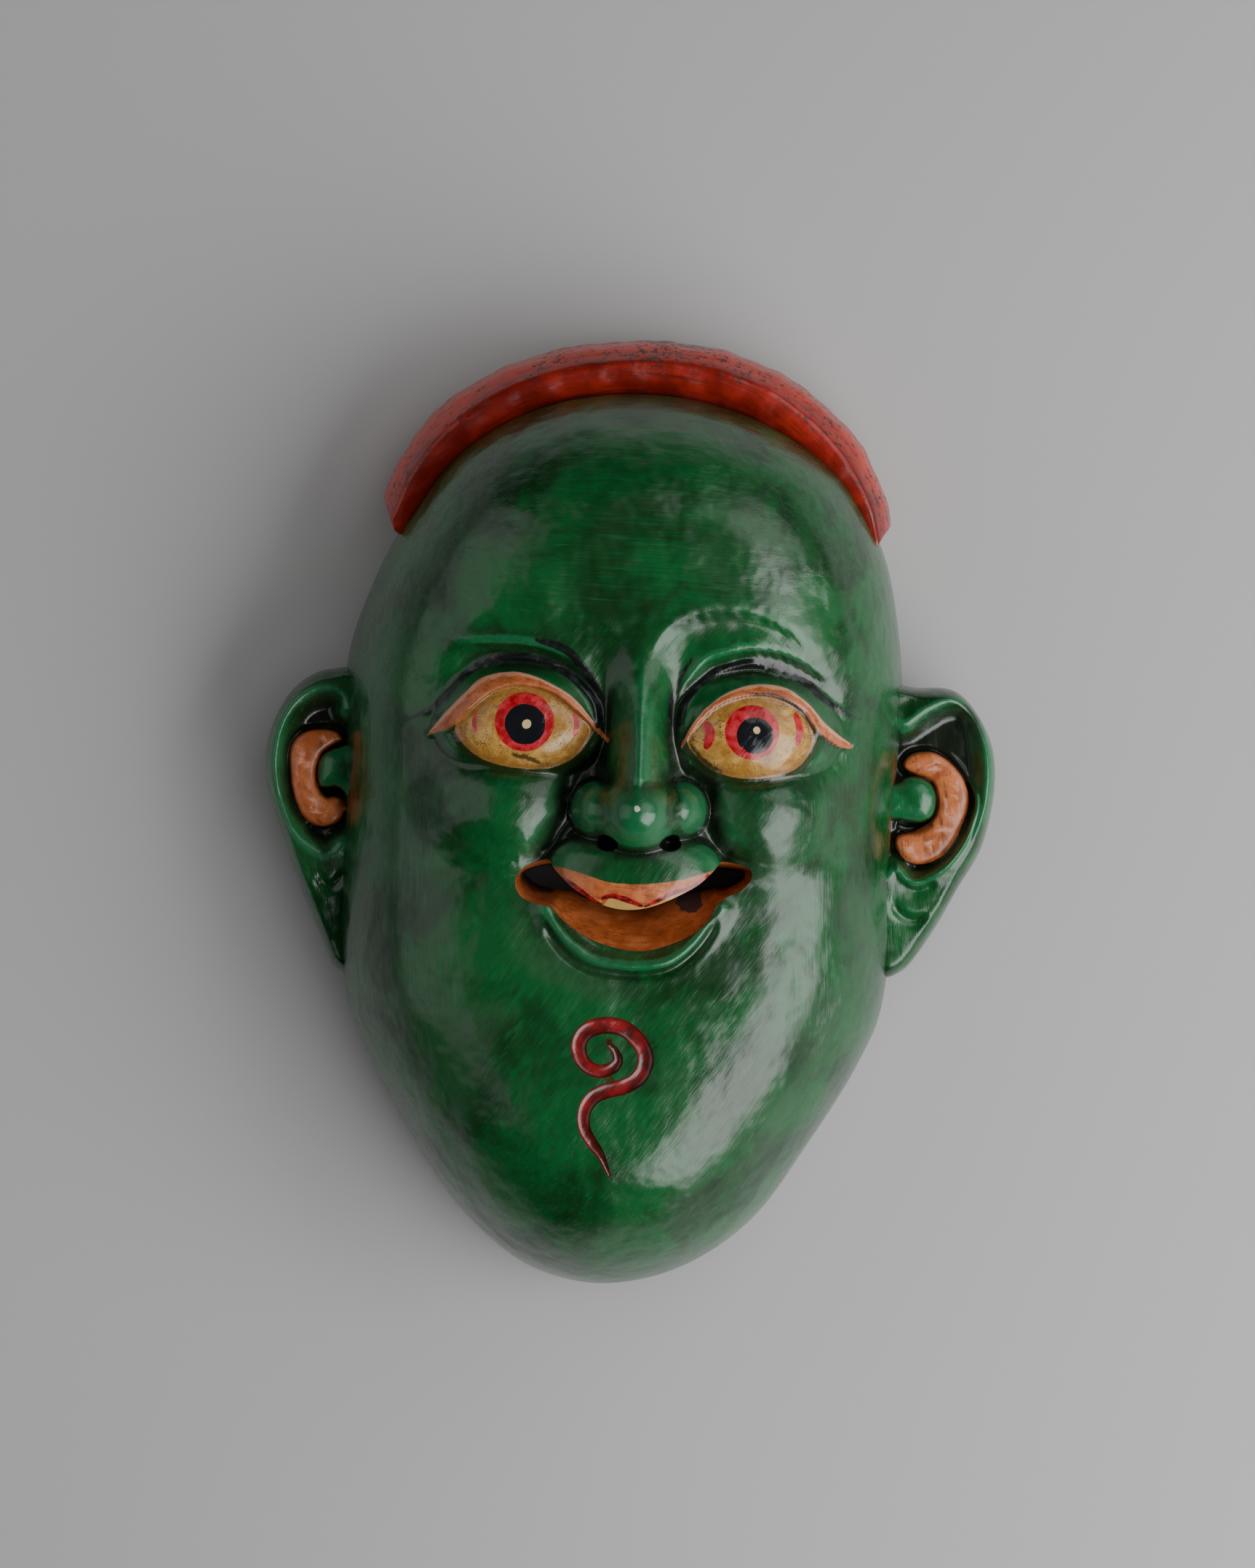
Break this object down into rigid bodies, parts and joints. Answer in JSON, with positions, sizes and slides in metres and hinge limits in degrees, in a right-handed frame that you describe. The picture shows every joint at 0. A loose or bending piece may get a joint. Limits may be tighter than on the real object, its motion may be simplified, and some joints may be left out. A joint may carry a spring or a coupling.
{
  "type": "wooden wall mask",
  "caption": "Carved wooden face mask with round painted eyes, jug ears, an open laughing mouth, a long chin and a red brim over the forehead; hollow behind, with a flat rim.",
  "frame": {"origin": "under the middle of the mask's outline, on the plane of its back rim, on which it lies face up", "axes": "+Z out of the face, away from the wall; +Y towards the brim; +X to the right of a viewer who faces the mask"},
  "size_m": [0.2333, 0.303, 0.1175],
  "materials": {
    "green_lacquer": "glossy dark green lacquer over carved wood, rubbed and scratched, darker in the creases",
    "red_lacquer": "red lacquer, worn along its ridges",
    "orange_lacquer": "satin orange lacquer with dark rubbed marks",
    "ivory_lacquer": "aged ivory lacquer with red and black painted rings",
    "black_lacquer": "black lacquer line",
    "bare_wood": "bare gouged wood"
  },
  "bodies": {
    "root": {"mask": "green_lacquer"}
  },
  "joints": []
}
